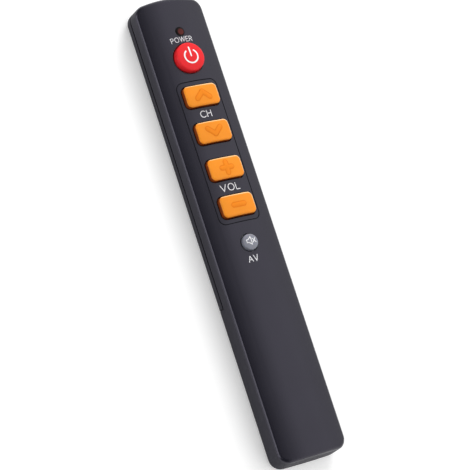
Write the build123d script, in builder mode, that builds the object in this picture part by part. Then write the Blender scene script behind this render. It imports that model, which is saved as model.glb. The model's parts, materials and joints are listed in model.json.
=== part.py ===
from build123d import *
import os
from dataclasses import dataclass
from math import cos, hypot, pi, sin, sqrt

# Universal remote control, lying on its back with the keys upwards and its head end towards +Y.
# Lengths are in millimetres. The origin is on the back, under the middle of the plan outline.

# Casing
body_length = 205
body_width = 32.8
side_height = 10.9
crown_rise = 3.7
corner_radius = 5.2
head_bow = 1.5
tail_bow = 0.35
tail_lean = 1.3
front_edge_radius = 1.8
rear_edge_radius = 2.4
wall = 1.5
inner_edge_radius = 0.5
overrun = 2

# Joint between the top shell and the bottom shell
parting_height = 5.4
bottom_shell_end_share = -0.318
seam_gap = 0.3
shadow_gap = 0.7
lip_thickness = 0.6
lip_height = 1.0
lip_clearance = 0.1
tongue_width = 20
tongue_reach = 2.0
tongue_thickness = 1.0

# Groove round the four oblong keys
groove_side_margin = 1.85
groove_end_margin = 2.4
groove_corner_radius = 3.0
groove_cut_width = 0.4
groove_depth = 0.3

# Keys
key_gap = 0.6
key_travel = 0.9
key_rest_gap = 0.1
key_flange_reach = 0.8
key_flange_thickness = 1.0
oblong_key_width = 15.8
oblong_key_depth = 9.35
oblong_key_corner = 2.1
oblong_key_head_share = 0.5561
oblong_key_pitch_share = 0.1613
oblong_key_top = 2.0
oblong_key_dome = 46
oblong_key_edge = 0.8
power_key_share = 0.7249
power_key_radius = 6.45
power_key_top = 2.9
power_key_dome = 36
power_key_edge = 0.8
mute_key_share = -0.0898
mute_key_radius = 3.45
mute_key_top = 2.1
mute_key_dome = 8.5
mute_key_edge = 0.5

# Circuit board, rubber keypad, collapsible domes and carbon pills
board_thickness = 1.2
board_top = 7.2
board_side_gap = 0.6
board_head_gap = 1.7
board_tail_gap = 4.0
pad_radius = 2.6
pad_split = 0.5
pad_height = 0.05
mat_thickness = 1.0
mat_gap = 0.4
mat_tail_margin = 1.6
mat_corner = 2.0
mat_hole_radius = 3.0
dome_base_radius = 4.4
dome_top_radius = 3.1
collar_least_height = 0.2
dome_wall = 0.5
plunger_radius = 1.6
plunger_clearance = 0.1
collar_radius = 3.3
pill_thickness = 0.5
contact_reserve = 0.05

# Support posts under the board
support_radius = 1.5
support_edge_distance = 2.4
support_shares = (0.488, 0.078)

# Parts on the board
chip_width = 12
chip_length = 12
chip_height = 1.6
chip_bevel = 0.4
chip_share = 0.312
crystal_length = 10
crystal_width = 3.8
crystal_height = 2.6
crystal_edge_distance = 9.8
crystal_chip_gap = 3
capacitor_radius = 1.9
capacitor_length = 7
capacitor_edge_distance = 8.3
capacitor_share = -0.117

# Infrared parts and indicator lamp
infrared_radius = 2.5
infrared_length = 8.4
infrared_flange_radius = 2.9
infrared_flange_thickness = 1.0
infrared_x = 4.4
infrared_window_gap = 0.3
lead_width = 0.5
lead_spread = 2.54
lead_reach = 3.2
window_half_width = 8.4
window_height = 4.1
window_gap = 0.1
window_flange_reach = 1.0
window_flange_thickness = 1.0
lamp_share = 0.8459
lamp_lens_radius = 2.05
lamp_lens_gap = 0.1
lamp_lens_rise = 0.35
lamp_flange_radius = 2.9
lamp_flange_thickness = 0.8
lamp_led_radius = 1.5
lamp_led_height = 4.3
lamp_led_rim = 0.35
lamp_led_rim_thickness = 0.8

# Battery bay, cells and contacts
cell_radius = 5.25
cell_length = 44.5
cell_nub_radius = 1.9
cell_nub_height = 0.9
cell_edge = 0.4
cell_clearance = 0.3
cell_spacing = 10.9
bay_wall = 1.2
bulkhead_thickness = 1.5
contact_seat_thickness = 1.4
contact_thickness = 0.3
contact_width = 9.0
contact_height = 8.0
tab_width = 2.4
tab_reach = 3.0
tab_clearance = 0.2
spring_length = 4.7
spring_wire = 0.5
spring_base_radius = 3.4
spring_tip_radius = 2.2
spring_turns = 3.25
spring_clearance = 0.05

# Battery door and the rails it slides in
door_thickness = 1.5
rail_width = 3.9
door_gap = 0.15
rail_lip_thickness = 1.0
runner_thickness = 1.0
runner_reach = 1.25
runner_rib = 1.2
shelf_thickness = 1.1
hook_width = 3.2
hook_reach = 1.2
hook_thickness = 0.7
grip_count = 5
grip_length = 12
grip_width = 1.0
grip_pitch = 2.2
grip_depth = 0.4
grip_tail_distance = 9

# Screws
case_screw_wall_gap = 1.4
case_screw_head_share = 0.8195
case_screw_end_distance = 4.6
case_screw_radius = 1.0
case_screw_head_radius = 1.9
case_screw_head_height = 1.4
case_screw_head_depth = 0.9
case_screw_length = 7.5
case_boss_radius = 2.3
case_seat_radius = 3.2
case_seat_height = 4.0
board_screw_wall_gap = 0.5
board_screw_head_share = 0.6439
board_screw_end_distance = 12.6
board_screw_radius = 0.8
board_screw_head_radius = 1.6
board_screw_head_height = 1.0
board_screw_length = 4.0
board_boss_radius = 1.9
screw_clearance = 0.1
screw_tip_clearance = 0.3
screw_slot_width = 0.5
screw_slot_depth = 0.5
boss_hole_clearance = 0.4

# Heights and places that follow from the sizes above
body_height = side_height + crown_rise
half_body = body_width / 2
half_length = body_length / 2
crown_radius = (half_body**2 + crown_rise**2) / (2 * crown_rise)
crown_centre = body_height - crown_radius
tail_radius = (half_body**2 + tail_bow**2) / (2 * tail_bow)

# Battery bay, counted from the tail end
cell_axis_height = door_thickness + cell_clearance + cell_radius
contact_seat = -half_length + wall + contact_seat_thickness
contact_tail = contact_seat + contact_thickness
contact_head = contact_tail + cell_length + spring_length
bulkhead_tail = contact_head + contact_thickness
bulkhead_head = bulkhead_tail + bulkhead_thickness
bay_half_width = cell_spacing / 2 + cell_radius + cell_clearance

# Door and its rails
door_half_width = half_body - rail_width
runner_bottom = rail_lip_thickness + door_gap
runner_top = runner_bottom + runner_thickness
shelf_bottom = runner_top + door_gap
shelf_top = shelf_bottom + shelf_thickness
rail_half_width = door_half_width + door_gap
runner_half_width = door_half_width + runner_reach
door_head = bulkhead_tail - door_gap
hook_root = cell_nub_height - door_gap

# Places along the casing
bottom_shell_end = bottom_shell_end_share * half_length
lamp_y = lamp_share * half_length
chip_y = chip_share * half_length
crystal_y = chip_y - chip_length / 2 - crystal_chip_gap - crystal_length / 2
capacitor_y = capacitor_share * half_length

# Infrared parts, lying behind their window
infrared_front = half_length - wall - window_gap - window_flange_thickness - infrared_window_gap
infrared_rear = infrared_front - infrared_length

# Screws, board and keypad
case_screw_x = half_body - wall - case_seat_radius - case_screw_wall_gap
case_screw_head_y = case_screw_head_share * half_length
case_screw_tail_y = bottom_shell_end + case_screw_end_distance
case_head_top = case_screw_head_depth + case_screw_head_height
board_screw_x = half_body - wall - board_boss_radius - board_screw_wall_gap
board_screw_head_y = board_screw_head_share * half_length
board_screw_tail_y = bottom_shell_end + board_screw_end_distance
board_half_width = half_body - wall - board_side_gap
board_head = infrared_rear - board_head_gap
board_tail = bulkhead_head + board_tail_gap
board_length = board_head - board_tail
board_bottom = board_top - board_thickness
crystal_x = board_half_width - crystal_edge_distance
capacitor_x = capacitor_edge_distance - board_half_width
mat_top = board_top + mat_thickness
mat_half_width = board_screw_x - board_boss_radius - mat_gap
mat_head = case_screw_head_y - case_boss_radius - mat_gap
pill_bottom = board_top + pad_height + key_travel + contact_reserve
pill_top = pill_bottom + pill_thickness


def crown_height(x, inset):
    """Height of the crowned front at a distance from the middle, drawn in by inset."""
    return crown_centre + sqrt((crown_radius - inset) ** 2 - x**2)


@dataclass
class Key:
    """A key: its place, the height of its top over the casing's crown, and its shape."""

    name: str
    y: float
    top: float
    dome: float
    edge: float
    radius: float = 0

    def profile(self, grow):
        """Outline of the key at its place, grown all round."""
        with BuildSketch() as outline:
            with Locations((0, self.y)):
                if self.radius:
                    Circle(self.radius + grow)
                else:
                    width = oblong_key_width + 2 * grow
                    depth = oblong_key_depth + 2 * grow
                    RectangleRounded(width, depth, oblong_key_corner + grow)
        return outline.sketch

    def flange_top(self):
        """Height of the flange, just under the lowest stretch of the casing above it."""
        half_width = (self.radius or oblong_key_width / 2) + key_gap + key_flange_reach
        return crown_height(half_width, wall) - key_rest_gap


def round_key(name, place_share, top, dome, edge, radius):
    """A round key, placed at a share of the half length."""
    return Key(name, place_share * half_length, top, dome, edge, radius)


def oblong_key(name, row):
    """One of the four oblong keys, counted from the head end."""
    y = (oblong_key_head_share - row * oblong_key_pitch_share) * half_length
    return Key(name, y, oblong_key_top, oblong_key_dome, oblong_key_edge)


keys = [
    round_key("power_key", power_key_share, power_key_top, power_key_dome, power_key_edge, power_key_radius),
    oblong_key("channel_up_key", 0),
    oblong_key("channel_down_key", 1),
    oblong_key("volume_up_key", 2),
    oblong_key("volume_down_key", 3),
    round_key("mute_key", mute_key_share, mute_key_top, mute_key_dome, mute_key_edge, mute_key_radius),
]
case_screw_places = [
    (side * case_screw_x, y) for y in (case_screw_head_y, case_screw_tail_y) for side in (-1, 1)
]
board_screw_places = [
    (side * board_screw_x, y) for y in (board_screw_head_y, board_screw_tail_y) for side in (-1, 1)
]
support_x = board_half_width - support_edge_distance
support_places = [(side * support_x, share * half_length) for share in support_shares for side in (-1, 1)]
dome_top = min(key.flange_top() for key in keys) - key_flange_thickness - collar_least_height
mat_tail = keys[-1].y - dome_base_radius - mat_tail_margin
groove_half_width = oblong_key_width / 2 + groove_side_margin
groove_head = keys[1].y + oblong_key_depth / 2 + groove_end_margin
groove_tail = keys[4].y - oblong_key_depth / 2 - groove_end_margin


def finish_piece(piece, name):
    """Label a finished piece, check that it is one solid and write it."""
    solids = len(piece.solids())
    if solids != 1:
        print(name, "has", solids, "solids")
    piece.part.label = name
    export_step(piece.part, f"parts/{name}.step")


def slab(x_range, y_range, z_range):
    """A block between the given limits, made outside any part."""
    with BuildPart() as block:
        with BuildSketch(Plane.XY.offset(z_range[0])):
            with Locations((sum(x_range) / 2, sum(y_range) / 2)):
                Rectangle(x_range[1] - x_range[0], y_range[1] - y_range[0])
        extrude(amount=z_range[1] - z_range[0])
    return block.part


def plan_prism(inset, z_range):
    """Upright prism on the casing's plan outline, with its tail end left square."""
    half_width = half_body - inset
    head = half_length - inset
    tail = -head - overrun
    shoulder = head - head_bow
    with BuildPart() as prism:
        with BuildSketch(Plane.XY.offset(z_range[0])) as outline:
            with BuildLine():
                left, right = (-half_width, shoulder), (half_width, shoulder)
                Polyline(right, (half_width, tail), (-half_width, tail), left)
                ThreePointArc(left, (0, head), right)
            make_face()
            fillet(outline.vertices().group_by(Axis.Y)[-1], corner_radius - inset)
        extrude(amount=z_range[1] - z_range[0])
    return prism.part


def tail_prism(inset, z_range):
    """Leaning prism whose edge is the bowed tail end, furthest out just above the rear edge."""
    lean = tail_lean / body_height
    height = z_range[1] - z_range[0]
    centre = tail_radius - half_length + inset + (z_range[0] - rear_edge_radius) * lean
    with BuildPart() as prism:
        with BuildSketch(Plane.XY.offset(z_range[0])):
            with Locations((0, centre)):
                Circle(tail_radius)
        extrude(amount=height * hypot(1, lean), dir=(0, lean, 1))
    return prism.part


def crown_prism(inset):
    """Prism along the casing under its crowned front, drawn in by inset."""
    reach = half_body + overrun
    edge = crown_height(reach, inset)
    with BuildPart() as prism:
        with BuildSketch(Plane.XZ):
            with BuildLine():
                Polyline((-reach, edge), (-reach, inset), (reach, inset), (reach, edge))
                ThreePointArc((reach, edge), (0, body_height - inset), (-reach, edge))
            make_face()
        extrude(amount=body_length, both=True)
    return prism.part


def body_blank(inset, front_radius, rear_radius):
    """The casing as one solid, drawn in by inset on every side."""
    z_range = (-overrun, body_height + overrun)
    with BuildPart() as blank:
        add(plan_prism(inset, z_range))
        add(tail_prism(inset, z_range), mode=Mode.INTERSECT)
        fillet(blank.edges().group_by(Axis.Z)[1].sort_by(Axis.Y)[:2], corner_radius - inset)
        add(crown_prism(inset), mode=Mode.INTERSECT)
        fillet(blank.faces().sort_by(Axis.Z)[-1].edges(), front_radius)
        fillet(blank.faces().sort_by(Axis.Z)[0].edges(), rear_radius)
    return blank.part


def posts(places, radius, z_range):
    """Round posts at the given places."""
    with BuildPart() as cluster:
        with BuildSketch(Plane.XY.offset(z_range[0])):
            with Locations(places):
                Circle(radius)
        extrude(amount=z_range[1] - z_range[0])
    return cluster.part


def rounded_frame(half_width, tail, head, corner, line_width):
    """Line of the given width along a rounded rectangle, centred on its edge."""
    with BuildSketch() as frame:
        with Locations((0, (head + tail) / 2)):
            RectangleRounded(2 * half_width + line_width, head - tail + line_width, corner + line_width / 2)
            RectangleRounded(
                2 * half_width - line_width,
                head - tail - line_width,
                corner - line_width / 2,
                mode=Mode.SUBTRACT,
            )
    return frame.sketch


os.makedirs("parts", exist_ok=True)
upright = (Align.CENTER, Align.CENTER, Align.MIN)
outer_body = body_blank(0, front_edge_radius, rear_edge_radius)
cavity = body_blank(wall, inner_edge_radius, inner_edge_radius)
rib_limit = body_blank(wall / 2, inner_edge_radius, inner_edge_radius)
tongue_bottom = wall + lip_clearance
tongue_top = tongue_bottom + tongue_thickness
bottom_shell_range = (bottom_shell_end, half_length + overrun)

# Cutters and ribs of the top shell
with BuildPart() as bay_ribs:
    for side in (-1, 1):
        wall_x = sorted((side * bay_half_width, side * (bay_half_width + bay_wall)))
        shelf_x = sorted((side * bay_half_width, side * half_body))
        add(slab(wall_x, (-half_length, bulkhead_head), (shelf_bottom, body_height)))
        add(slab(shelf_x, (-half_length, bulkhead_head), (shelf_bottom, shelf_top)))
    add(slab((-half_body, half_body), (bulkhead_tail, bulkhead_head), (0, body_height)))
    seat_half_width = bay_half_width + bay_wall
    add(slab((-seat_half_width, seat_half_width), (-half_length, contact_seat), (shelf_bottom, body_height)))
    add(posts(case_screw_places, case_boss_radius, (case_seat_height, body_height)))
    add(posts(board_screw_places, board_boss_radius, (board_top, body_height)))
    add(rib_limit, mode=Mode.INTERSECT)

with BuildPart() as groove:
    add(rounded_frame(groove_half_width, groove_tail, groove_head, groove_corner_radius, groove_cut_width))
    extrude(amount=body_height + overrun)
    add(crown_prism(groove_depth), mode=Mode.SUBTRACT)

with BuildPart() as rebate:
    add(plan_prism(wall - lip_thickness - lip_clearance, (0, parting_height + lip_height + lip_clearance)))
    add(slab((-half_body, half_body), bottom_shell_range, (0, body_height)), mode=Mode.INTERSECT)

with BuildPart() as key_holes:
    with BuildSketch():
        for key in keys:
            add(key.profile(key_gap))
        with Locations((0, lamp_y)):
            Circle(lamp_lens_radius + lamp_lens_gap)
    extrude(amount=body_height + overrun)

with BuildPart() as door_opening:
    opening_tail = -half_length - overrun
    add(slab((-rail_half_width, rail_half_width), (opening_tail, bulkhead_tail), (-overrun, shelf_bottom)))
    runner_way = runner_half_width + door_gap
    add(slab((-runner_way, runner_way), (opening_tail, bulkhead_tail), (rail_lip_thickness, shelf_bottom)))
    hook_way = hook_width / 2 + door_gap
    hook_z = (wall, door_thickness + hook_thickness + 2 * door_gap)
    add(slab((-hook_way, hook_way), (bulkhead_tail - overrun, bulkhead_head), hook_z))

with BuildPart() as tab_slots:
    for side in (-1, 1):
        tab_x = side * cell_spacing / 2
        slot_half_width = tab_width / 2 + tab_clearance
        slot_y = (bulkhead_tail - overrun, bulkhead_head + overrun)
        slot_z = (board_top - tab_clearance, board_top + contact_thickness + tab_clearance)
        add(slab((tab_x - slot_half_width, tab_x + slot_half_width), slot_y, slot_z))

# Top shell: crowned front, side walls and the battery bay at the tail end
with BuildPart() as top_shell:
    add(outer_body)
    add(cavity, mode=Mode.SUBTRACT)
    below_x = (-half_body - overrun, half_body + overrun)
    add(slab(below_x, bottom_shell_range, (-overrun, parting_height)), mode=Mode.SUBTRACT)
    add(bay_ribs.part)
    add(rebate.part, mode=Mode.SUBTRACT)
    add(groove.part, mode=Mode.SUBTRACT)
    add(key_holes.part, mode=Mode.SUBTRACT)
    add(door_opening.part, mode=Mode.SUBTRACT)
    add(tab_slots.part, mode=Mode.SUBTRACT)
    window_x = (-window_half_width - window_gap, window_half_width + window_gap)
    window_z = (0, parting_height + window_height + window_gap)
    add(slab(window_x, (infrared_front, half_length + overrun), window_z), mode=Mode.SUBTRACT)
    case_hole_z = (0, case_head_top + case_screw_length + screw_tip_clearance)
    add(posts(case_screw_places, case_screw_radius + screw_clearance, case_hole_z), mode=Mode.SUBTRACT)
    board_hole_z = (0, board_bottom + board_screw_length + screw_tip_clearance)
    add(posts(board_screw_places, board_screw_radius + screw_clearance, board_hole_z), mode=Mode.SUBTRACT)
finish_piece(top_shell, "top_shell")

# Bottom shell: rear casing from the head end to the battery bay
with BuildPart() as lip:
    lip_z = (parting_height - lip_height, parting_height - seam_gap + lip_height)
    add(plan_prism(wall - lip_thickness, lip_z))
    add(plan_prism(wall, lip_z), mode=Mode.SUBTRACT)
    lip_y = (bottom_shell_end + seam_gap, half_length)
    add(slab((-half_body, half_body), lip_y, lip_z), mode=Mode.INTERSECT)
    window_clear = window_half_width + window_flange_reach + window_gap
    behind_window = (half_length - corner_radius, half_length)
    add(slab((-window_clear, window_clear), behind_window, lip_z), mode=Mode.SUBTRACT)

with BuildPart() as bottom_shell:
    add(outer_body)
    add(cavity, mode=Mode.SUBTRACT)
    kept_y = (bottom_shell_end + seam_gap, half_length + overrun)
    add(slab(below_x, kept_y, (-overrun, parting_height - shadow_gap)), mode=Mode.INTERSECT)
    add(lip.part)
    add(posts(case_screw_places, case_seat_radius, (wall / 2, case_seat_height)))
    step_y = (bottom_shell_end + seam_gap, bottom_shell_end + tongue_reach)
    add(slab((-tongue_width / 2, tongue_width / 2), step_y, (wall / 2, tongue_top)))
    tongue_y = (bottom_shell_end - tongue_reach, bottom_shell_end + tongue_reach)
    add(slab((-tongue_width / 2, tongue_width / 2), tongue_y, (tongue_bottom, tongue_top)))
    add(posts(support_places, support_radius, (wall / 2, board_bottom)))
    recess_radius = case_screw_head_radius + boss_hole_clearance
    add(posts(case_screw_places, recess_radius, (-overrun, case_head_top)), mode=Mode.SUBTRACT)
    add(posts(case_screw_places, case_screw_radius + screw_clearance, (0, body_height)), mode=Mode.SUBTRACT)
finish_piece(bottom_shell, "bottom_shell")

# Battery door: plate with a runner along each side, a hook and finger grips
with BuildPart() as battery_door:
    door_y = (-half_length - overrun, door_head)
    add(slab((-door_half_width, door_half_width), door_y, (-overrun, door_thickness)))
    for side in (-1, 1):
        runner_x = sorted((side * (door_half_width - runner_rib), side * runner_half_width))
        add(slab(runner_x, door_y, (runner_bottom, runner_top)))
        rib_x = sorted((side * (door_half_width - runner_rib), side * door_half_width))
        add(slab(rib_x, door_y, (0, runner_top)))
    hook_x = (-hook_width / 2, hook_width / 2)
    hook_z = (door_thickness + door_gap, door_thickness + door_gap + hook_thickness)
    add(slab(hook_x, (door_head - hook_root, door_head), (0, hook_z[1])))
    add(slab(hook_x, (door_head - hook_root, door_head + hook_reach), hook_z))
    tail_lip_y = (-half_length - overrun, contact_seat)
    add(slab((-door_half_width, door_half_width), tail_lip_y, (-overrun, runner_top)))
    add(outer_body, mode=Mode.INTERSECT)
    grip_middle = -half_length + grip_tail_distance + (grip_count - 1) * grip_pitch / 2
    with BuildSketch(Plane.XY.offset(grip_depth)):
        with Locations((0, grip_middle)):
            with GridLocations(0, grip_pitch, 1, grip_count):
                SlotOverall(grip_length, grip_width)
    extrude(amount=-grip_depth - overrun, mode=Mode.SUBTRACT)
finish_piece(battery_door, "battery_door")

# Keys with their flange, collar and plunger, and the dome and carbon pill under each
for key in keys:
    flange_top = key.flange_top()
    flange_bottom = flange_top - key_flange_thickness
    key_top = body_height + key.top
    with BuildPart() as cap:
        with BuildSketch(Plane.XY.offset(flange_bottom)):
            add(key.profile(0))
        extrude(amount=key_top - flange_bottom)
        with Locations((0, key.y, key_top - key.dome)):
            Sphere(key.dome, mode=Mode.INTERSECT)
        fillet(cap.faces().sort_by(Axis.Z)[-1].edges(), key.edge)
        with BuildSketch(Plane.XY.offset(flange_bottom)):
            add(key.profile(key_gap + key_flange_reach))
        extrude(amount=key_flange_thickness)
        with Locations((0, key.y, dome_top)):
            Cylinder(collar_radius, flange_bottom - dome_top + key_flange_thickness / 2, align=upright)
        with Locations((0, key.y, pill_top)):
            Cylinder(plunger_radius, flange_bottom - pill_top, align=upright)
    finish_piece(cap, key.name)

    stem = key.name.replace("_key", "")
    with BuildPart() as dome:
        with BuildSketch(Plane.XZ):
            with BuildLine():
                hole = plunger_radius + plunger_clearance
                Polyline(
                    (dome_base_radius - dome_wall, mat_top),
                    (dome_base_radius, mat_top),
                    (dome_top_radius, dome_top),
                    (hole, dome_top),
                    (hole, dome_top - dome_wall),
                    (dome_top_radius - dome_wall, dome_top - dome_wall),
                    close=True,
                )
            make_face()
        revolve(axis=Axis.Z)
    with BuildPart() as placed_dome:
        with Locations((0, key.y)):
            add(dome.part)
    finish_piece(placed_dome, stem + "_dome")

    with BuildPart() as pill:
        with Locations((0, key.y, pill_bottom)):
            Cylinder(plunger_radius, pill_thickness, align=upright)
    finish_piece(pill, stem + "_pill")

# Rubber keypad mat with an opening under each dome
with BuildPart() as keypad_mat:
    with BuildSketch(Plane.XY.offset(board_top)):
        with Locations((0, (mat_head + mat_tail) / 2)):
            RectangleRounded(2 * mat_half_width, mat_head - mat_tail, mat_corner)
        with Locations(*[(0, key.y) for key in keys]):
            Circle(mat_hole_radius, mode=Mode.SUBTRACT)
    extrude(amount=mat_thickness)
finish_piece(keypad_mat, "keypad_mat")

# Circuit board with two half-round contact pads under each key
with BuildPart() as circuit_board:
    with BuildSketch(Plane.XY.offset(board_bottom)):
        with Locations((0, (board_head + board_tail) / 2)):
            Rectangle(2 * board_half_width, board_length)
        with Locations(*case_screw_places):
            Circle(case_boss_radius + boss_hole_clearance, mode=Mode.SUBTRACT)
        with Locations(*board_screw_places):
            Circle(board_screw_radius + screw_clearance, mode=Mode.SUBTRACT)
    extrude(amount=board_thickness)
    with BuildSketch(Plane.XY.offset(board_top)):
        with Locations(*[(0, key.y) for key in keys]):
            Circle(pad_radius)
            Rectangle(pad_split, 2 * pad_radius, mode=Mode.SUBTRACT)
    extrude(amount=pad_height)
finish_piece(circuit_board, "circuit_board")

# Parts soldered under the board
with BuildPart() as controller_chip:
    chip_x_range = (-chip_width / 2, chip_width / 2)
    chip_y_range = (chip_y - chip_length / 2, chip_y + chip_length / 2)
    add(slab(chip_x_range, chip_y_range, (board_bottom - chip_height, board_bottom)))
    chamfer(controller_chip.faces().sort_by(Axis.Z)[0].edges(), chip_bevel)
finish_piece(controller_chip, "controller_chip")

with BuildPart() as crystal:
    with BuildSketch(Plane.XY.offset(board_bottom)):
        with Locations((crystal_x, crystal_y)):
            SlotOverall(crystal_length, crystal_width, rotation=90)
    extrude(amount=-crystal_height)
finish_piece(crystal, "crystal")

with BuildPart() as capacitor:
    with BuildSketch(Plane.XZ.offset(-capacitor_y)):
        with Locations((capacitor_x, board_bottom - capacitor_radius)):
            Circle(capacitor_radius)
    extrude(amount=capacitor_length)
finish_piece(capacitor, "capacitor")

# Infrared emitter and receiver, lying at the head end with their leads on the board
lead_height = board_top + lead_width / 2
for name, x in (("infrared_emitter", -infrared_x), ("infrared_receiver", infrared_x)):
    with BuildPart() as diode:
        with BuildSketch(Plane.XZ.offset(-infrared_rear)):
            with Locations((x, lead_height)):
                Circle(infrared_radius)
        extrude(amount=-(infrared_length - infrared_radius))
        with Locations((x, infrared_front - infrared_radius, lead_height)):
            Sphere(infrared_radius)
        with BuildSketch(Plane.XZ.offset(-infrared_rear)):
            with Locations((x, lead_height)):
                Circle(infrared_flange_radius)
        extrude(amount=-infrared_flange_thickness)
        for side in (-1, 1):
            lead_x = x + side * lead_spread / 2
            lead_x_range = (lead_x - lead_width / 2, lead_x + lead_width / 2)
            lead_y_range = (infrared_rear - lead_reach, infrared_rear)
            add(slab(lead_x_range, lead_y_range, (board_top, board_top + lead_width)))
    finish_piece(diode, name)

# Infrared window: a face flush with the head end and a flange behind the wall
window_bottom = parting_height + window_gap
window_top = parting_height + window_height
flange_inset = wall + window_gap
rear_inset = flange_inset + window_flange_thickness
with BuildPart() as window_rear:
    flange_reach = window_half_width + window_flange_reach
    flange_z = (window_bottom, window_top + window_flange_reach)
    add(plan_prism(flange_inset, flange_z))
    add(slab((-flange_reach, flange_reach), behind_window, flange_z), mode=Mode.INTERSECT)
with BuildPart() as infrared_window:
    add(plan_prism(0, (window_bottom, window_top)))
    add(slab((-window_half_width, window_half_width), behind_window, (0, body_height)), mode=Mode.INTERSECT)
    add(window_rear.part)
    add(plan_prism(rear_inset, (0, body_height)), mode=Mode.SUBTRACT)
finish_piece(infrared_window, "infrared_window")

# Indicator lamp: red lens with a flange under the front, over a small round lamp
lens_flange_top = crown_height(lamp_flange_radius, wall) - key_rest_gap
with BuildPart() as lamp_lens:
    with Locations((0, lamp_y, lens_flange_top - lamp_flange_thickness)):
        Cylinder(lamp_flange_radius, lamp_flange_thickness, align=upright)
        Cylinder(lamp_lens_radius, body_height - lens_flange_top + lamp_flange_thickness, align=upright)
    lens_dome = (lamp_lens_radius**2 + lamp_lens_rise**2) / (2 * lamp_lens_rise)
    with BuildSketch(Plane.XY.offset(body_height)):
        with Locations((0, lamp_y)):
            Circle(lamp_lens_radius)
    extrude(amount=lamp_lens_rise)
    with Locations((0, lamp_y, body_height + lamp_lens_rise - lens_dome)):
        Sphere(lens_dome, mode=Mode.INTERSECT)
finish_piece(lamp_lens, "lamp_lens")

with BuildPart() as indicator_lamp:
    with Locations((0, lamp_y, board_top)):
        Cylinder(lamp_led_radius + lamp_led_rim, lamp_led_rim_thickness, align=upright)
        Cylinder(lamp_led_radius, lamp_led_height - lamp_led_radius, align=upright)
    with Locations((0, lamp_y, board_top + lamp_led_height - lamp_led_radius)):
        Sphere(lamp_led_radius)
finish_piece(indicator_lamp, "indicator_lamp")

# Two round cells side by side, facing opposite ways
for name, side in (("left_cell", -1), ("right_cell", 1)):
    cell_x = side * cell_spacing / 2
    nub_end = contact_head if side < 0 else contact_tail
    can_length = cell_length - cell_nub_height
    with BuildPart() as cell:
        can_plane = Plane(origin=(cell_x, nub_end, cell_axis_height), z_dir=(0, side, 0))
        with BuildSketch(can_plane.offset(cell_nub_height)):
            Circle(cell_radius)
        extrude(amount=can_length)
        fillet(cell.edges(), cell_edge)
        with BuildSketch(can_plane):
            Circle(cell_nub_radius)
        extrude(amount=2 * cell_nub_height)
    finish_piece(cell, name)

# Contact plates with tabs to the board, and the link plate at the tail end
contact_z = (cell_axis_height - contact_height / 2, cell_axis_height + contact_height / 2)
for name, side in (("positive_contact", -1), ("negative_contact", 1)):
    contact_x = side * cell_spacing / 2
    with BuildPart() as contact:
        plate_x = (contact_x - contact_width / 2, contact_x + contact_width / 2)
        add(slab(plate_x, (contact_head, bulkhead_tail), contact_z))
        tab_x = (contact_x - tab_width / 2, contact_x + tab_width / 2)
        add(slab(tab_x, (contact_head, board_tail + tab_reach), (board_top, board_top + contact_thickness)))
    finish_piece(contact, name)

with BuildPart() as link_contact:
    link_half_width = (cell_spacing + contact_width) / 2
    add(slab((-link_half_width, link_half_width), (contact_seat, contact_tail), contact_z))
finish_piece(link_contact, "link_contact")

# Conical contact springs between the plates and the flat ends of the cells
quarter_turns = round(4 * spring_turns)
spring_rise = spring_length - spring_wire - 2 * spring_clearance


def spring_point(x, foot, way, angle):
    """Middle of the wire after an angle in radians, from the foot of the spring."""
    share = angle / (quarter_turns * pi / 2)
    radius = spring_base_radius + share * (spring_tip_radius - spring_base_radius)
    along = spring_wire / 2 + spring_clearance + share * spring_rise
    return Vector(x + radius * cos(angle), foot + way * along, cell_axis_height + radius * sin(angle))


def spring_direction(x, foot, way, angle):
    """Unit direction of the wire after an angle."""
    step = pi / quarter_turns / 1000
    after = spring_point(x, foot, way, angle + step)
    return (after - spring_point(x, foot, way, angle - step)).normalized()


def joint_of_arcs(start, start_way, end, end_way):
    """Where two arcs meet that join two points along their directions, and the direction there."""
    span = end - start
    ways = start_way + end_way
    square = 2 * (start_way.dot(end_way) - 1)
    middle = -2 * span.dot(ways)
    reach = (-middle - sqrt(middle**2 - 4 * square * span.dot(span))) / (2 * square)
    first = start + start_way * reach
    second = end - end_way * reach
    return (first + second) / 2, (second - first).normalized()


def least_spring_gap():
    """Least clear distance between neighbouring turns, measured on points."""
    steps = 24
    angles = [turn * pi / 2 / steps for turn in range(quarter_turns * steps + 1)]
    points = [spring_point(0, 0, 1, angle) for angle in angles]
    half_turn = 2 * steps
    spans = [
        (points[late] - points[early]).length
        for early in range(len(points))
        for late in range(early + half_turn, len(points))
    ]
    return min(spans) - spring_wire


print("least gap between spring turns", round(least_spring_gap(), 2))
for name, x, foot, way in (
    ("negative_spring", cell_spacing / 2, contact_head, -1),
    ("link_spring", -cell_spacing / 2, contact_tail, 1),
):
    with BuildPart() as spring:
        with BuildLine() as wire:
            for quarter in range(quarter_turns):
                start_angle = quarter * pi / 2
                end_angle = start_angle + pi / 2
                start = spring_point(x, foot, way, start_angle)
                end = spring_point(x, foot, way, end_angle)
                start_way = spring_direction(x, foot, way, start_angle)
                end_way = spring_direction(x, foot, way, end_angle)
                joint, joint_way = joint_of_arcs(start, start_way, end, end_way)
                TangentArc(start, joint, tangent=start_way)
                TangentArc(joint, end, tangent=joint_way)
        first_way = spring_direction(x, foot, way, 0)
        with BuildSketch(Plane(origin=spring_point(x, foot, way, 0), z_dir=first_way)):
            Circle(spring_wire / 2)
        sweep(path=wire.line)
    finish_piece(spring, name)


def screw(name, place, head_bottom, head_radius, head_height, radius, length):
    """A slotted screw driven upwards, its head below."""
    x, y = place
    with BuildPart() as body:
        with Locations((x, y, head_bottom)):
            Cylinder(head_radius, head_height, align=upright)
            Cylinder(radius, head_height + length, align=upright)
            for turn in (0, 1):
                slot = (head_radius, screw_slot_width)
                Box(slot[turn], slot[1 - turn], screw_slot_depth, align=upright, mode=Mode.SUBTRACT)
    finish_piece(body, name)


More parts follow.
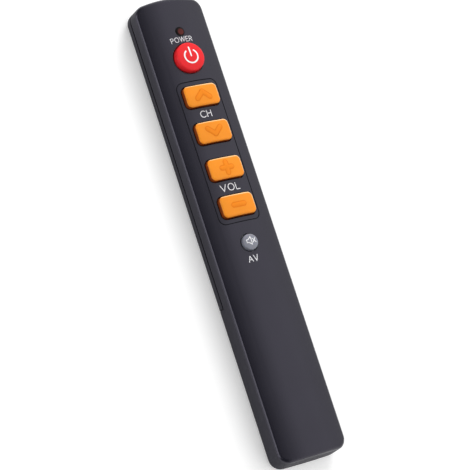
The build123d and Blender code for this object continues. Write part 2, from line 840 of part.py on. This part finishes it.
for number, place in enumerate(case_screw_places, start=1):
    screw(
        f"case_screw_{number}",
        place,
        case_screw_head_depth,
        case_screw_head_radius,
        case_screw_head_height,
        case_screw_radius,
        case_screw_length,
    )
for number, place in enumerate(board_screw_places, start=1):
    screw(
        f"board_screw_{number}",
        place,
        board_bottom - board_screw_head_height,
        board_screw_head_radius,
        board_screw_head_height,
        board_screw_radius,
        board_screw_length,
    )
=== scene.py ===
import bpy
import json
import math
from mathutils import Matrix, Vector
from mathutils.bvhtree import BVHTree


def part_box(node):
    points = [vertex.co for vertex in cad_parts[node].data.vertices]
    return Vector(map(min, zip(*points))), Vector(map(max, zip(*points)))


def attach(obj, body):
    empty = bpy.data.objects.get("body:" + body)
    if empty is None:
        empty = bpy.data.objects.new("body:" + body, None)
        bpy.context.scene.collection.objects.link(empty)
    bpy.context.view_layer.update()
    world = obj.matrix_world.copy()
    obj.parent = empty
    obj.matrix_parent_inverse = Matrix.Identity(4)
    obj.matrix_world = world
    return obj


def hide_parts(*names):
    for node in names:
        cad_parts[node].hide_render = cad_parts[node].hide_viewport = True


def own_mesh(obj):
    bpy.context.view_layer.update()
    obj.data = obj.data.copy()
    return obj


# Universal remote control: finish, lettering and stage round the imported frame
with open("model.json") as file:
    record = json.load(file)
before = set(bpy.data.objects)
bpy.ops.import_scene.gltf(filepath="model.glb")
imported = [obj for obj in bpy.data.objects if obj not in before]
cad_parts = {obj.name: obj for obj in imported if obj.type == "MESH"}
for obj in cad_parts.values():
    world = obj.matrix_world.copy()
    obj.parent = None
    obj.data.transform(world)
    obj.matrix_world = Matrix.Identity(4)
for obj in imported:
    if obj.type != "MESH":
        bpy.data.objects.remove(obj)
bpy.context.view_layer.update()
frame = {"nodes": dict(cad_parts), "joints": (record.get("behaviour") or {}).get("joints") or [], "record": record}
mm = 0.001
parts = frame["nodes"]

# Camera, at the photograph's viewing angle
camera_distance = 760.4 * mm
camera_azimuth = -70.03
camera_elevation = 59.05
camera_roll = 54.52
camera_aim_height = 5.43 * mm
camera_lens = 138.05
camera_shift = (0.0035, -0.0141)
camera_nearest = 10 * mm

# Words on the casing, in millimetres: the middle, the width and height, and the line width of each
word_sizes = {
    "POWER": ((-0.4, 83.2), (10.3, 2.4), 0.22),
    "CH": ((-0.4, 48.95), (5.4, 3.1), 0.33),
    "VOL": ((-0.4, 15.75), (9.2, 3.25), 0.33),
    "AV": ((-0.5, -16.1), (4.9, 2.85), 0.31),
}
power_word_arch = 60
letter_gap_share = 0.24
ink_height = 0.03

# Signs on the keys, in millimetres
ring_radius = 3.05
ring_stroke = 0.66
ring_gap_angle = 38
power_bar_start = 0.1
power_bar_end = 4.0
bar_ink_height = 0.04
speaker_body = ((-1.55, 0.5), (-0.95, 0.5), (0.05, 1.35), (0.05, -1.35), (-0.95, -0.5), (-1.55, -0.5))
speaker_cross = (((0.5, 0.7), (1.65, -0.7)), ((0.5, -0.7), (1.65, 0.7)))
speaker_scale = 1.3
speaker_stroke = 0.33
speaker_shift = 0.3
relief_height = 0.13
relief_sink = 0.03
relief_stroke = 2.0
relief_foot_stroke = 2.5
chevron_half_width = 2.95
chevron_rise = 1.35
plus_half_length = 2.3
minus_half_length = 2.45

# Groove round the oblong keys, in millimetres; its ends are counted from the middle of the nearest key
groove_half_width = 9.75
groove_end_reach = 7.075
groove_corner_radius = 3.0
# Painted shade along the bottom of the groove: its width and its height over the surface
groove_shade_width = 0.2
groove_shade_height = 0.01

# How finely a line is drawn, in steps and millimetres
line_spacing = 0.2
line_least_width = 0.02
steps_across = 6
cap_steps = 5
relief_squareness = 4
drop_start = 30

# Finish of the surfaces; the colour span is the part of the noise over which a colour drifts
colour_span = (0.35, 0.65)
gloss_swing = 0.04
coat_rough = 0.14
glow_colours = (1.0, 0.35, 0.12)
glow_reach = 1.2 * mm
side_shine = 0.72
# Painted highlight along the orange keys' head and right edges, and painted shade down their sides and below a
# height on the flange
painted_highlight_orange = (1.0, 0.6, 0.28)
painted_shade_orange = (0.24, 0.045, 0.008)
painted_shade_height = 12.4 * mm
painted_shade_fade = 0.4 * mm

# Directions, and spans of the cosine between one and the surface's normal over which the finish and the painted
# highlight and shade change
upwards = (0, 0, 1)
side_span = (0.1, 0.35)
painted_shade_span = (0.15, 0.45)
painted_highlight_direction = (0.6, 0.75, 0)
painted_highlight_span = (0.14, 0.4)

# Lamp lens: how far from its lighter middle the painted shade of the rim starts and is full; the middle is set off
# towards the right as painted light
lens_painted_shade_reach = (1.1 * mm, 1.6 * mm)
lens_painted_shade_colour = (0.002, 0.001, 0.001)
lens_painted_light_shift = Vector((0.3 * mm, -0.1 * mm, -0.05 * mm))

# Floor and sky; a sky stop is a place from -1 at the left to 1 at the right, and a level
floor_reach = 4
floor_drop = 0.05 * mm
floor_white = 0.8
floor_glow = 0.3
sky_strength = 1.4
sky_stops = ((-0.36, 0.09), (0.25, 1.0), (0.75, 0.92), (0.97, 0.6))

# Lamps: name, place, width and length in metres, power in watts, and whether reflections show it
lamps = (
    ("key_light", (0.42, 0.72, 0.36), (0.4, 0.4), 4.5, False),
    ("edge_light", (-0.92, 0.17, 0.36), (1.2, 0.58), 5.8, True),
)


def key_centre(name):
    """Middle of a key in plan, in millimetres."""
    low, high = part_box(name)
    return (low.x + high.x) / 2 / mm, (low.y + high.y) / 2 / mm


def new_material(name):
    """A material with its node tree and its main shader."""
    material = bpy.data.materials.new(name)
    material.use_nodes = True
    tree = material.node_tree
    return material, tree, tree.nodes["Principled BSDF"]


def object_noise(tree, scale, detail, distortion=0.0):
    """Noise that follows the object, with its scale per metre."""
    place = tree.nodes.new("ShaderNodeTexCoord")
    noise = tree.nodes.new("ShaderNodeTexNoise")
    noise.inputs["Scale"].default_value = scale
    noise.inputs["Detail"].default_value = detail
    noise.inputs["Distortion"].default_value = distortion
    tree.links.new(place.outputs["Object"], noise.inputs["Vector"])
    return noise.outputs["Fac"]


def ramp(tree, source, low, high):
    """Colour ramp between two colours, driven by a value."""
    node = tree.nodes.new("ShaderNodeValToRGB")
    for element, position, colour in zip(node.color_ramp.elements, colour_span, (low, high)):
        element.position = position
        element.color = (*colour, 1)
    tree.links.new(source, node.inputs["Fac"])
    return node.outputs["Color"]


def spread(tree, source, low, high):
    """A value from 0 to 1 moved into a range."""
    node = tree.nodes.new("ShaderNodeMapRange")
    node.inputs["To Min"].default_value = low
    node.inputs["To Max"].default_value = high
    tree.links.new(source, node.inputs["Value"])
    return node.outputs["Result"]


def share_of(tree, source, low, high):
    """How far a value is on its way from low to high, from 0 to 1."""
    node = tree.nodes.new("ShaderNodeMapRange")
    node.inputs["From Min"].default_value = low
    node.inputs["From Max"].default_value = high
    tree.links.new(source, node.inputs["Value"])
    return node.outputs["Result"]


def combined(tree, operation, first, second):
    """Two values made into one by an operation of the maths node."""
    node = tree.nodes.new("ShaderNodeMath")
    node.operation = operation
    tree.links.new(first, node.inputs[0])
    tree.links.new(second, node.inputs[1])
    return node.outputs["Value"]


def bump(tree, source, shader, strength, depth):
    """Bump of a given depth in metres."""
    node = tree.nodes.new("ShaderNodeBump")
    node.inputs["Strength"].default_value = strength
    node.inputs["Distance"].default_value = depth
    tree.links.new(source, node.inputs["Height"])
    tree.links.new(node.outputs["Normal"], shader.inputs["Normal"])


def tint(colour, factor):
    """A colour made lighter or darker."""
    return tuple(min(1, channel * factor) for channel in colour)


def mixed(tree, share, first, second):
    """Colours blended by a share from 0 to 1, each a node output or a plain colour."""
    mix = tree.nodes.new("ShaderNodeMix")
    mix.data_type = "RGBA"
    tree.links.new(share, mix.inputs["Factor"])
    for socket, colour in ((mix.inputs[6], first), (mix.inputs[7], second)):
        if isinstance(colour, bpy.types.NodeSocket):
            tree.links.new(colour, socket)
        else:
            socket.default_value = (*colour, 1)
    return mix.outputs[2]


def facing(tree, direction, span):
    """How far the surface turns towards a direction: 0 below the span, 1 above it."""
    place = tree.nodes.new("ShaderNodeTexCoord")
    dot = tree.nodes.new("ShaderNodeVectorMath")
    dot.operation = "DOT_PRODUCT"
    dot.inputs[1].default_value = direction
    tree.links.new(place.outputs["Normal"], dot.inputs[0])
    return share_of(tree, dot.outputs["Value"], *span)


def paint_key_highlight_and_shade(tree, colours):
    """Orange key with a painted highlight along its head and right edges, and painted shade down its sides and
    flange.
    """
    highlighted = mixed(tree, facing(tree, painted_highlight_direction, painted_highlight_span), colours, painted_highlight_orange)
    place = tree.nodes.new("ShaderNodeTexCoord")
    split = tree.nodes.new("ShaderNodeSeparateXYZ")
    tree.links.new(place.outputs["Object"], split.inputs[0])
    above = share_of(tree, split.outputs["Z"], painted_shade_height, painted_shade_height + painted_shade_fade)
    unshaded = combined(tree, "MINIMUM", facing(tree, upwards, painted_shade_span), above)
    return mixed(tree, unshaded, painted_shade_orange, highlighted)


def matt_sides(tree, gloss, side_rough):
    """Rougher finish where the surface faces sideways or down, as on a spark-eroded mould."""
    sideways = spread(tree, facing(tree, upwards, side_span), side_rough, 0)
    return combined(tree, "MAXIMUM", gloss, sideways)


def plastic(
    name,
    colour,
    rough,
    grain_scale,
    grain_depth,
    variation=0.08,
    glow=0.0,
    specular=0.5,
    sheen_tint=None,
    coat=0.0,
    side_rough=None,
    painted_highlight_and_shade=False,
):
    """Moulded plastic with a fine grain, slight colour drift and uneven gloss."""
    material, tree, shader = new_material(name)
    drift = object_noise(tree, scale=60, detail=3)
    colours = ramp(tree, drift, tint(colour, 1 - variation), tint(colour, 1 + variation))
    # Painted highlight on the head and right edges and painted shade down the sides of the orange keys
    if painted_highlight_and_shade:
        colours = paint_key_highlight_and_shade(tree, colours)
    tree.links.new(colours, shader.inputs["Base Color"])
    gloss = spread(tree, object_noise(tree, scale=350, detail=3), rough - gloss_swing, rough + gloss_swing)
    if side_rough:
        gloss = matt_sides(tree, gloss, side_rough)
    tree.links.new(gloss, shader.inputs["Roughness"])
    bump(tree, object_noise(tree, grain_scale, detail=3), shader, strength=0.6, depth=grain_depth)
    shader.inputs["Specular IOR Level"].default_value = specular
    if side_rough:
        shine = spread(tree, facing(tree, upwards, side_span), specular * side_shine, specular)
        tree.links.new(shine, shader.inputs["Specular IOR Level"])
    if sheen_tint:
        shader.inputs["Specular Tint"].default_value = (*sheen_tint, 1)
    if coat:
        shader.inputs["Coat Weight"].default_value = coat
        shader.inputs["Coat Roughness"].default_value = coat_rough
    if glow:
        shader.inputs["Subsurface Weight"].default_value = glow
        shader.inputs["Subsurface Radius"].default_value = glow_colours
        shader.inputs["Subsurface Scale"].default_value = glow_reach
    return material


def metal(name, colour, rough, scratch_depth):
    """Plated metal with fine scratches."""
    material, tree, shader = new_material(name)
    drift = object_noise(tree, scale=400, detail=4, distortion=0.4)
    tree.links.new(ramp(tree, drift, tint(colour, 0.85), tint(colour, 1.1)), shader.inputs["Base Color"])
    gloss = spread(tree, object_noise(tree, scale=3000, detail=4), rough - 0.08, rough + 0.1)
    tree.links.new(gloss, shader.inputs["Roughness"])
    shader.inputs["Metallic"].default_value = 1.0
    bump(tree, object_noise(tree, scale=2500, detail=2), shader, strength=0.3, depth=scratch_depth)
    return material


def lens_material():
    """Dark red lens with painted shade on its rim round a lighter middle, set off towards the right as painted
    light.
    """
    material, tree, shader = new_material("lamp_lens")
    low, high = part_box("lamp_lens")
    top = Vector(((low.x + high.x) / 2, (low.y + high.y) / 2, high.z))
    place = tree.nodes.new("ShaderNodeTexCoord")
    reach = tree.nodes.new("ShaderNodeVectorMath")
    reach.operation = "DISTANCE"
    reach.inputs[1].default_value = top + lens_painted_light_shift
    tree.links.new(place.outputs["Object"], reach.inputs[0])
    painted_rim_shade = share_of(tree, reach.outputs["Value"], *lens_painted_shade_reach)
    middle = ramp(tree, object_noise(tree, scale=300, detail=2), (0.07, 0.012, 0.01), (0.1, 0.018, 0.015))
    tree.links.new(mixed(tree, painted_rim_shade, middle, lens_painted_shade_colour), shader.inputs["Base Color"])
    shader.inputs["Roughness"].default_value = 0.08
    shader.inputs["Specular IOR Level"].default_value = 0.12
    return material


def board_material():
    """Green solder mask with a faint pattern of paler lines."""
    material, tree, shader = new_material("board")
    place = tree.nodes.new("ShaderNodeTexCoord")
    cells = tree.nodes.new("ShaderNodeTexBrick")
    cells.inputs["Scale"].default_value = 260
    cells.inputs["Mortar Size"].default_value = 0.05
    cells.inputs["Color1"].default_value = (0.012, 0.11, 0.04, 1)
    cells.inputs["Color2"].default_value = (0.015, 0.13, 0.05, 1)
    cells.inputs["Mortar"].default_value = (0.05, 0.24, 0.09, 1)
    tree.links.new(place.outputs["Object"], cells.inputs["Vector"])
    tree.links.new(cells.outputs["Color"], shader.inputs["Base Color"])
    shader.inputs["Roughness"].default_value = 0.35
    bump(tree, cells.outputs["Fac"], shader, strength=0.4, depth=0.03 * mm)
    return material


def cell_material():
    """Dark lacquered jacket of a battery cell."""
    material, tree, shader = new_material("cell_jacket")
    noise = object_noise(tree, scale=900, detail=3)
    tree.links.new(ramp(tree, noise, (0.02, 0.02, 0.022), (0.035, 0.035, 0.04)), shader.inputs["Base Color"])
    shader.inputs["Roughness"].default_value = 0.28
    shader.inputs["Coat Weight"].default_value = 0.5
    bump(tree, noise, shader, strength=0.2, depth=0.02 * mm)
    return material


# Materials of the record's slots
rubbery = {"variation": 0.05, "glow": 0.04, "specular": 0.08}
materials = {
    "casing_plastic": plastic(
        "casing",
        (0.0082, 0.008, 0.0128),
        rough=0.22,
        grain_scale=2600,
        grain_depth=0.03 * mm,
        specular=0.52,
        sheen_tint=(0.86, 0.82, 1.0),
        side_rough=0.6,
    ),
    "red_key_plastic": plastic("red_key", (0.75, 0.02, 0.026), 0.4, 1800, 0.02 * mm, coat=0.15, **rubbery),
    "orange_key_plastic": plastic(
        "orange_key",
        (0.84, 0.27, 0.018),
        rough=0.4,
        grain_scale=1800,
        grain_depth=0.02 * mm,
        coat=0.15,
        painted_highlight_and_shade=True,
        **rubbery,
    ),
    "grey_key_plastic": plastic(
        "grey_key",
        (0.215, 0.22, 0.265),
        rough=0.32,
        grain_scale=1800,
        grain_depth=0.02 * mm,
        variation=0.06,
        glow=0.08,
        specular=0.4,
    ),
    "grey_rubber": plastic("keypad_rubber", (0.28, 0.28, 0.285), 0.7, 1500, 0.04 * mm),
    "carbon": plastic("carbon_rubber", (0.012, 0.012, 0.012), 0.8, 2500, 0.04 * mm),
    "board_green": board_material(),
    "black_epoxy": plastic("epoxy", (0.012, 0.012, 0.013), 0.6, 3000, 0.03 * mm),
    "bright_metal": metal("nickel_plate", (0.66, 0.64, 0.58), 0.22, 0.02 * mm),
    "steel": metal("zinc_plate", (0.5, 0.5, 0.51), 0.32, 0.03 * mm),
    "window_red": plastic("infrared_window", (0.02, 0.001, 0.002), 0.12, 500, 0.01 * mm),
    "lamp_red": lens_material(),
    "cell_jacket": cell_material(),
    "clear_resin": plastic("tinted_resin", (0.2, 0.2, 0.26), 0.12, 500, 0.01 * mm),
}

# Materials of the pieces that are only in this scene
white_ink = plastic("white_ink", (0.84, 0.84, 0.86), 0.5, 3000, 0.01 * mm, variation=0.04, specular=0.3)
bright_ink = plastic("bright_ink", (0.86, 0.86, 0.87), 0.5, 3000, 0.01 * mm, variation=0.03, specular=0.3)
# Near-black colour of the painted shade in the groove
groove_painted_shade = plastic("groove_painted_shade", (0.003, 0.003, 0.004), 0.9, 3000, 0.01 * mm, variation=0.04, specular=0.1)
orange_relief = plastic("orange_relief", (0.82, 0.235, 0.014), 0.45, 1800, 0.02 * mm, **rubbery)
# Darker orange of the painted shade at the foot of each sign
relief_shade = plastic("relief_shade", (0.74, 0.185, 0.008), 0.5, 1800, 0.02 * mm, **rubbery)


def dress_parts():
    """Give every carried-over part the material of its slot."""
    slots = {row["node"]: row["material_slot"] for row in frame["record"]["subparts"]}
    for name, part in parts.items():
        part.data.materials.clear()
        part.data.materials.append(materials[slots[name]])


def surface_of(name):
    """Search tree of a part's surface."""
    mesh = parts[name].data
    corners = [vertex.co.copy() for vertex in mesh.vertices]
    return BVHTree.FromPolygons(corners, [list(face.vertices) for face in mesh.polygons])


surfaces = {name: surface_of(name) for name in parts if name == "top_shell" or name.endswith("_key")}


def drop(surface, x, y, lift):
    """Point on a surface under a place in plan, raised by lift; the places are in millimetres."""
    above = Vector((x * mm, y * mm, drop_start * mm))
    hit = surfaces[surface].ray_cast(above, Vector((0, 0, -1)))[0]
    return Vector((x * mm, y * mm, hit.z + lift * mm))


def make_piece(name, vertices, faces, material, body):
    """A smooth mesh piece in place that rides on a body."""
    mesh = bpy.data.meshes.new(name)
    mesh.from_pydata(vertices, [], faces)
    mesh.update()
    mesh.materials.append(material)
    for face in mesh.polygons:
        face.use_smooth = True
    piece = bpy.data.objects.new(name, mesh)
    bpy.context.scene.collection.objects.link(piece)
    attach(piece, body)


def ribbon(path, widths, height):
    """Rows of points across a path, with the height of each over the surface it lies on."""
    rows = []
    for index, (x, y) in enumerate(path):
        before = path[max(index - 1, 0)]
        after = path[min(index + 1, len(path) - 1)]
        way = Vector((after[0] - before[0], after[1] - before[1])).normalized()
        side = Vector((-way.y, way.x))
        row = []
        for step in range(steps_across + 1):
            share = 2 * step / steps_across - 1
            at = Vector((x, y)) + side * widths[index] / 2 * share
            row.append((at.x, at.y, height * (1 - share**relief_squareness)))
        rows.append(row)
    return rows


def cap(end, inner, width):
    """Places and widths that round off the end of a line."""
    way = Vector((end[0] - inner[0], end[1] - inner[1])).normalized()
    made = []
    for step in range(1, cap_steps + 1):
        angle = step / cap_steps * math.pi / 2
        reach = math.sin(angle) * width / 2
        place = (end[0] + way.x * reach, end[1] + way.y * reach)
        made.append((place, max(width * math.cos(angle), line_least_width)))
    return made


def stroke(points, width):
    """Path through points with round ends, and its width all along."""
    path = []
    for start, end in zip(points, points[1:]):
        steps = max(1, round(math.dist(start, end) / line_spacing))
        for step in range(steps):
            share = step / steps
            path.append((start[0] + share * (end[0] - start[0]), start[1] + share * (end[1] - start[1])))
    path.append(points[-1])
    head = cap(path[0], path[1], width)[::-1]
    tail = cap(path[-1], path[-2], width)
    rounded = head + [(place, width) for place in path] + tail
    return [place for place, _ in rounded], [size for _, size in rounded]


def draw_strokes(name, strokes, width, surface, material, body, base=ink_height, height=0.0):
    """Lines drawn on a surface, flat as ink or rounded as a low relief."""
    vertices, faces = [], []
    for points in strokes:
        path, widths = stroke(points, width)
        rows = ribbon(path, widths, height)
        first = len(vertices)
        across = len(rows[0])
        for row in rows:
            vertices += [drop(surface, x, y, base + h) for x, y, h in row]
        for i in range(len(rows) - 1):
            for j in range(across - 1):
                corner = first + i * across + j
                faces.append((corner, corner + across, corner + across + 1, corner + 1))
    make_piece(name, vertices, faces, material, body)


def ellipse(centre, radii, start, end, steps=24):
    """Points along part of an ellipse, angles in degrees from +x."""
    angles = [math.radians(start + (end - start) * step / steps) for step in range(steps + 1)]
    return [(centre[0] + radii[0] * math.cos(a), centre[1] + radii[1] * math.sin(a)) for a in angles]


def arc(centre, radius, start, end, steps):
    """Points along part of a circle, angles in degrees from +x."""
    return ellipse(centre, (radius, radius), start, end, steps)


def glyphs():
    """Line paths of each letter used, one unit high, with its width."""
    bowl = [(0, 1), (0.27, 1)] + ellipse((0.27, 0.755), (0.25, 0.245), 90, -90, 12)[1:] + [(0, 0.51)]
    stem = [(0, 0), (0, 1)]
    return {
        "P": (0.52, [stem, bowl]),
        "R": (0.56, [stem, bowl, [(0.26, 0.51), (0.56, 0)]]),
        "O": (0.78, [ellipse((0.39, 0.5), (0.39, 0.5), 90, 450)]),
        "C": (0.72, [ellipse((0.42, 0.5), (0.42, 0.5), 48, 312)]),
        "W": (1.0, [[(x, 1 - up), (x + 0.25, up)] for x, up in ((0, 0), (0.25, 1), (0.5, 0), (0.75, 1))]),
        "E": (0.46, [stem, [(0, 1), (0.46, 1)], [(0, 0.52), (0.4, 0.52)], [(0, 0), (0.46, 0)]]),
        "H": (0.62, [stem, [(0.62, 0), (0.62, 1)], [(0, 0.52), (0.62, 0.52)]]),
        "V": (0.7, [[(0, 1), (0.35, 0)], [(0.35, 0), (0.7, 1)]]),
        "L": (0.46, [stem, [(0, 0), (0.46, 0)]]),
        "A": (0.7, [[(0, 0), (0.35, 1)], [(0.35, 1), (0.7, 0)], [(0.12, 0.33), (0.58, 0.33)]]),
    }


def print_word(name, word, arch=None):
    """A word printed on the casing, each letter drawn in lines of one width."""
    centre, (width, height), line = word_sizes[word]
    shapes = glyphs()
    plain_width = sum(shapes[letter][0] for letter in word) + letter_gap_share * (len(word) - 1)
    across = (width - line) / plain_width
    up = height - line
    strokes = []
    start = 0
    for letter in word:
        letter_width, paths = shapes[letter]
        for path in paths:
            points = []
            for px, py in path:
                x = (start + px - plain_width / 2) * across
                y = (py - 0.5) * up
                if arch:
                    angle = x / arch
                    x, y = (arch + y) * math.sin(angle), (arch + y) * math.cos(angle) - arch
                points.append((centre[0] + x, centre[1] + y))
            strokes.append(points)
        start += letter_width + letter_gap_share
    draw_strokes(name, strokes, line, "top_shell", white_ink, "casing")


def print_words():
    """Words on the casing beside the keys."""
    print_word("word_power", "POWER", power_word_arch)
    print_word("word_channel", "CH")
    print_word("word_volume", "VOL")
    print_word("word_av", "AV")


def shade_groove():
    """Painted shade: a dark line along the bottom of the groove round the four orange keys."""
    head = key_centre("channel_up_key")[1] + groove_end_reach - groove_corner_radius
    tail = key_centre("volume_down_key")[1] - groove_end_reach + groove_corner_radius
    side = groove_half_width - groove_corner_radius
    path = []
    for quarter, centre in enumerate(((side, head), (-side, head), (-side, tail), (side, tail))):
        path += arc(centre, groove_corner_radius, 90 * quarter, 90 * (quarter + 1), 12)
    path.append(path[0])
    draw_strokes(
        "groove_shade", [path], groove_shade_width, "top_shell", groove_painted_shade, "casing", groove_shade_height
    )


def draw_power_icon():
    """Open ring with a bar on the power key."""
    x, y = key_centre("power_key")
    ring = arc((x, y), ring_radius, 90 + ring_gap_angle, 450 - ring_gap_angle, 40)
    draw_strokes("icon_power_ring", [ring], ring_stroke, "power_key", bright_ink, "power_key")
    bar = [(x, y + power_bar_start), (x, y + power_bar_end)]
    draw_strokes("icon_power_bar", [bar], ring_stroke, "power_key", bright_ink, "power_key", bar_ink_height)


def draw_mute_icon():
    """Small loudspeaker with a cross beside it on the mute key."""
    x, y = key_centre("mute_key")
    outline = list(zip(speaker_body, speaker_body[1:] + speaker_body[:1]))
    strokes = []
    for line in outline + list(speaker_cross):
        strokes.append([(x + px * speaker_scale, y + speaker_shift + py * speaker_scale) for px, py in line])
    draw_strokes("icon_mute", strokes, speaker_stroke, "mute_key", bright_ink, "mute_key")


def chevron(way):
    """Two lines that meet in a tip, which points to the head end for 1 and to the tail end for -1."""
    tip = (0, way * chevron_rise)
    return [[(side * chevron_half_width, -way * chevron_rise), tip] for side in (-1, 1)]


def draw_reliefs():
    """Low raised signs on the orange keys, each with a darker line of painted shade at its foot."""
    level = [(-plus_half_length, 0), (plus_half_length, 0)]
    upright = [(0, -plus_half_length), (0, plus_half_length)]
    signs = {
        "channel_up_key": chevron(1),
        "channel_down_key": chevron(-1),
        "volume_up_key": [level, upright],
        "volume_down_key": [[(-minus_half_length, 0), (minus_half_length, 0)]],
    }
    for key, lines in signs.items():
        x, y = key_centre(key)
        strokes = [[(x + px, y + py) for px, py in line] for line in lines]
        raised = (-relief_sink, relief_height)
        draw_strokes("relief_" + key, strokes, relief_stroke, key, orange_relief, key, *raised)
        draw_strokes("foot_" + key, strokes, relief_foot_stroke, key, relief_shade, key)


def fold_domes():
    """Rubber domes under the keys, as copies that ride with the casing in place of the parts."""
    for joint in frame["joints"]:
        node = joint["name"].replace("_press", "_dome")
        if node not in parts:
            continue
        piece = bpy.data.objects.new("rubber_" + node, parts[node].data.copy())
        bpy.context.scene.collection.objects.link(piece)
        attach(piece, "casing")
        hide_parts(node)
        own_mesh(piece)


def lay_floor():
    """Pale floor that looks white to the camera and in reflections, and takes the shadow."""
    mesh = bpy.data.meshes.new("floor")
    corners = [(x * floor_reach, y * floor_reach, 0) for x, y in ((-1, -1), (1, -1), (1, 1), (-1, 1))]
    mesh.from_pydata(corners, [], [(0, 1, 2, 3)])
    floor = bpy.data.objects.new("floor", mesh)
    floor.location.z = -floor_drop
    bpy.context.scene.collection.objects.link(floor)
    material, tree, shader = new_material("floor")
    shader.inputs["Base Color"].default_value = (floor_white, floor_white, floor_white, 1)
    shader.inputs["Roughness"].default_value = 0.9
    shader.inputs["Specular IOR Level"].default_value = 0.2
    path = tree.nodes.new("ShaderNodeLightPath")
    seen = path.outputs["Is Camera Ray"]
    for kind in ("Is Glossy Ray", "Is Transmission Ray"):
        seen = combined(tree, "MAXIMUM", seen, path.outputs[kind])
    tree.links.new(spread(tree, seen, 0, floor_glow), shader.inputs["Emission Strength"])
    shader.inputs["Emission Color"].default_value = (1, 1, 1, 1)
    mesh.materials.append(material)


def light_sky():
    """Soft light all round, dark at the left and bright at the right."""
    world = bpy.data.worlds.new("studio")
    bpy.context.scene.world = world
    world.use_nodes = True
    tree = world.node_tree
    place = tree.nodes.new("ShaderNodeTexCoord")
    split = tree.nodes.new("ShaderNodeSeparateXYZ")
    tree.links.new(place.outputs["Generated"], split.inputs[0])
    side = tree.nodes.new("ShaderNodeValToRGB")
    stops = side.color_ramp.elements
    for index, (x, level) in enumerate(sky_stops):
        stop = stops[index] if index < 2 else stops.new(1)
        stop.position = (x + 1) / 2
        stop.color = (level, level, level, 1)
    tree.links.new(share_of(tree, split.outputs["X"], -1, 1), side.inputs["Fac"])
    background = tree.nodes["Background"]
    tree.links.new(side.outputs["Color"], background.inputs["Color"])
    background.inputs["Strength"].default_value = sky_strength


def hang_lamps():
    """Rectangular lamps that shine at the object's middle."""
    for name, place, size, power, reflected in lamps:
        lamp = bpy.data.lights.new(name, "AREA")
        lamp.shape = "RECTANGLE"
        lamp.size, lamp.size_y = size
        lamp.energy = power
        holder = bpy.data.objects.new(name, lamp)
        holder.visible_glossy = reflected
        holder.location = place
        holder.rotation_mode = "QUATERNION"
        holder.rotation_quaternion = Vector(place).to_track_quat("Z", "Y")
        bpy.context.scene.collection.objects.link(holder)


def place_camera():
    """Camera at the photograph's viewing angle."""
    azimuth, elevation = math.radians(camera_azimuth), math.radians(camera_elevation)
    level = math.cos(elevation)
    back = Vector((math.sin(azimuth) * level, -math.cos(azimuth) * level, math.sin(elevation)))
    lens = bpy.data.cameras.new("camera")
    lens.lens = camera_lens
    lens.shift_x, lens.shift_y = camera_shift
    lens.clip_start = camera_nearest
    camera = bpy.data.objects.new("camera", lens)
    camera.location = Vector((0, 0, camera_aim_height)) + back * camera_distance
    upright = (-back).to_track_quat("-Z", "Y").to_matrix()
    roll = Matrix.Rotation(math.radians(camera_roll), 3, "Z")
    camera.rotation_mode = "QUATERNION"
    camera.rotation_quaternion = (upright @ roll).to_quaternion()
    bpy.context.scene.collection.objects.link(camera)
    bpy.context.scene.camera = camera
    bpy.context.scene.view_settings.view_transform = "Standard"


dress_parts()
print_words()
shade_groove()
draw_power_icon()
draw_mute_icon()
draw_reliefs()
fold_domes()
lay_floor()
light_sky()
hang_lamps()
place_camera()
